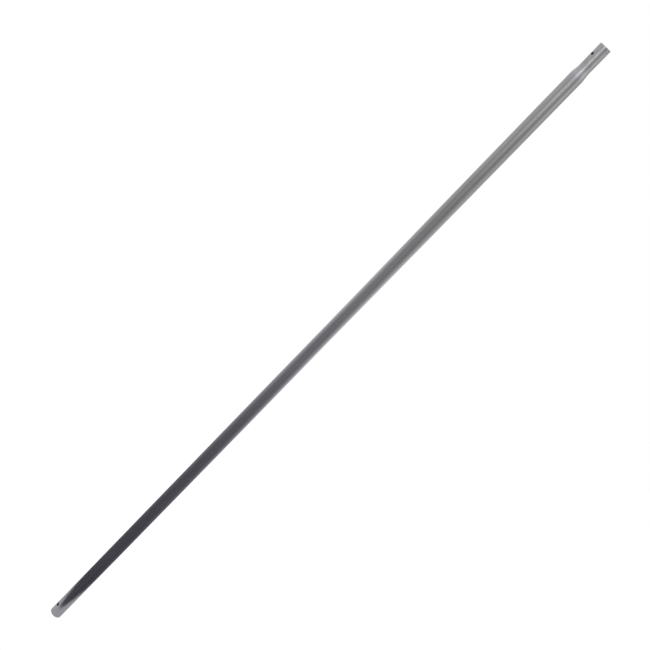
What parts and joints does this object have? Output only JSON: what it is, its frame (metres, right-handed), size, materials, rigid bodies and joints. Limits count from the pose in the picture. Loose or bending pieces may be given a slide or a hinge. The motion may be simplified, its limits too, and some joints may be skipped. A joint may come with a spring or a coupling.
{
  "type": "roller extension pole",
  "caption": "Straight round metal pole section with an open socket at one end and a swaged neck with spring buttons at the other, for joining poles end to end.",
  "frame": {"origin": "centre of the open socket's rim, at the pole's lower end", "axes": "+Z along the pole, from the socket to the swaged neck; +X through the right-hand button and its hole"},
  "size_m": [0.0258, 0.0254, 1.5748],
  "materials": {
    "mill_aluminium": "drawn, unpolished",
    "spring_steel": "rolled strip",
    "black_steel": "black oxide"
  },
  "bodies": {
    "pole": {"pole_tube": "mill_aluminium", "clip_bend": "spring_steel"},
    "leg_left": {"clip_leg_left": "spring_steel", "snap_button_left": "black_steel"},
    "leg_right": {"clip_leg_right": "spring_steel", "snap_button_right": "black_steel"}
  },
  "joints": [
    {"name": "button_press_left", "type": "hinge", "parent": "pole", "child": "leg_left", "pos_m": [-0.006, 0, 1.51865], "axis": [0, 1, 0], "range_deg": [0, 3.44], "stiffness_Nm_per_rad": 1.2, "springref_deg": -14.32},
    {"name": "button_press_right", "type": "hinge", "parent": "pole", "child": "leg_right", "pos_m": [0.006, 0, 1.51865], "axis": [0, -1, 0], "range_deg": [0, 3.44], "stiffness_Nm_per_rad": 1.2, "springref_deg": -14.32}
  ]
}
